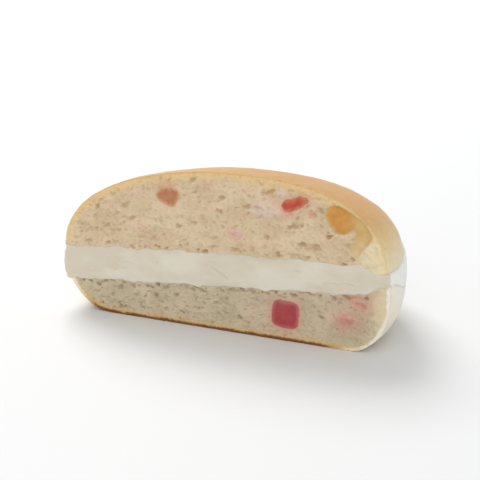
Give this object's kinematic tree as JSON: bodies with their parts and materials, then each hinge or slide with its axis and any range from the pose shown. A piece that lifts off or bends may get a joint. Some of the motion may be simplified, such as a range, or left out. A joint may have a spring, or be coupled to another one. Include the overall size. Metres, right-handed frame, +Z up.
{
  "type": "cream bun",
  "caption": "Half of a round cream bun resting on its base, its knife cut showing soft crumb, a layer of whipped cream, candied fruit and an air pocket under the crust.",
  "frame": {"origin": "middle of the underside of the box that holds the half bun, at the height of the flat base", "axes": "+X to the right along the cut as one looks at it, +Y back from the cut into the bun, +Z up"},
  "size_m": [0.1034, 0.0564, 0.0471],
  "materials": {
    "crumb": "soft open bread crumb, matt, with a golden baked crust outside",
    "cream": "whipped cream, smooth with a faint sheen",
    "fruit_red": "candied fruit, deep raspberry red, slightly translucent",
    "fruit_coral": "candied fruit, bright red with a brown edge, slightly translucent",
    "fruit_pink": "candied fruit seen through a skin of crumb, pale pink"
  },
  "bodies": {
    "root": {"bun_crown": "crumb", "cream_filling": "cream", "bun_heel": "crumb", "fruit_cube": "fruit_red", "fruit_chunk": "fruit_coral", "fruit_wedge": "fruit_coral", "fruit_fleck_high": "fruit_pink", "fruit_fleck_low": "fruit_pink"}
  },
  "joints": []
}
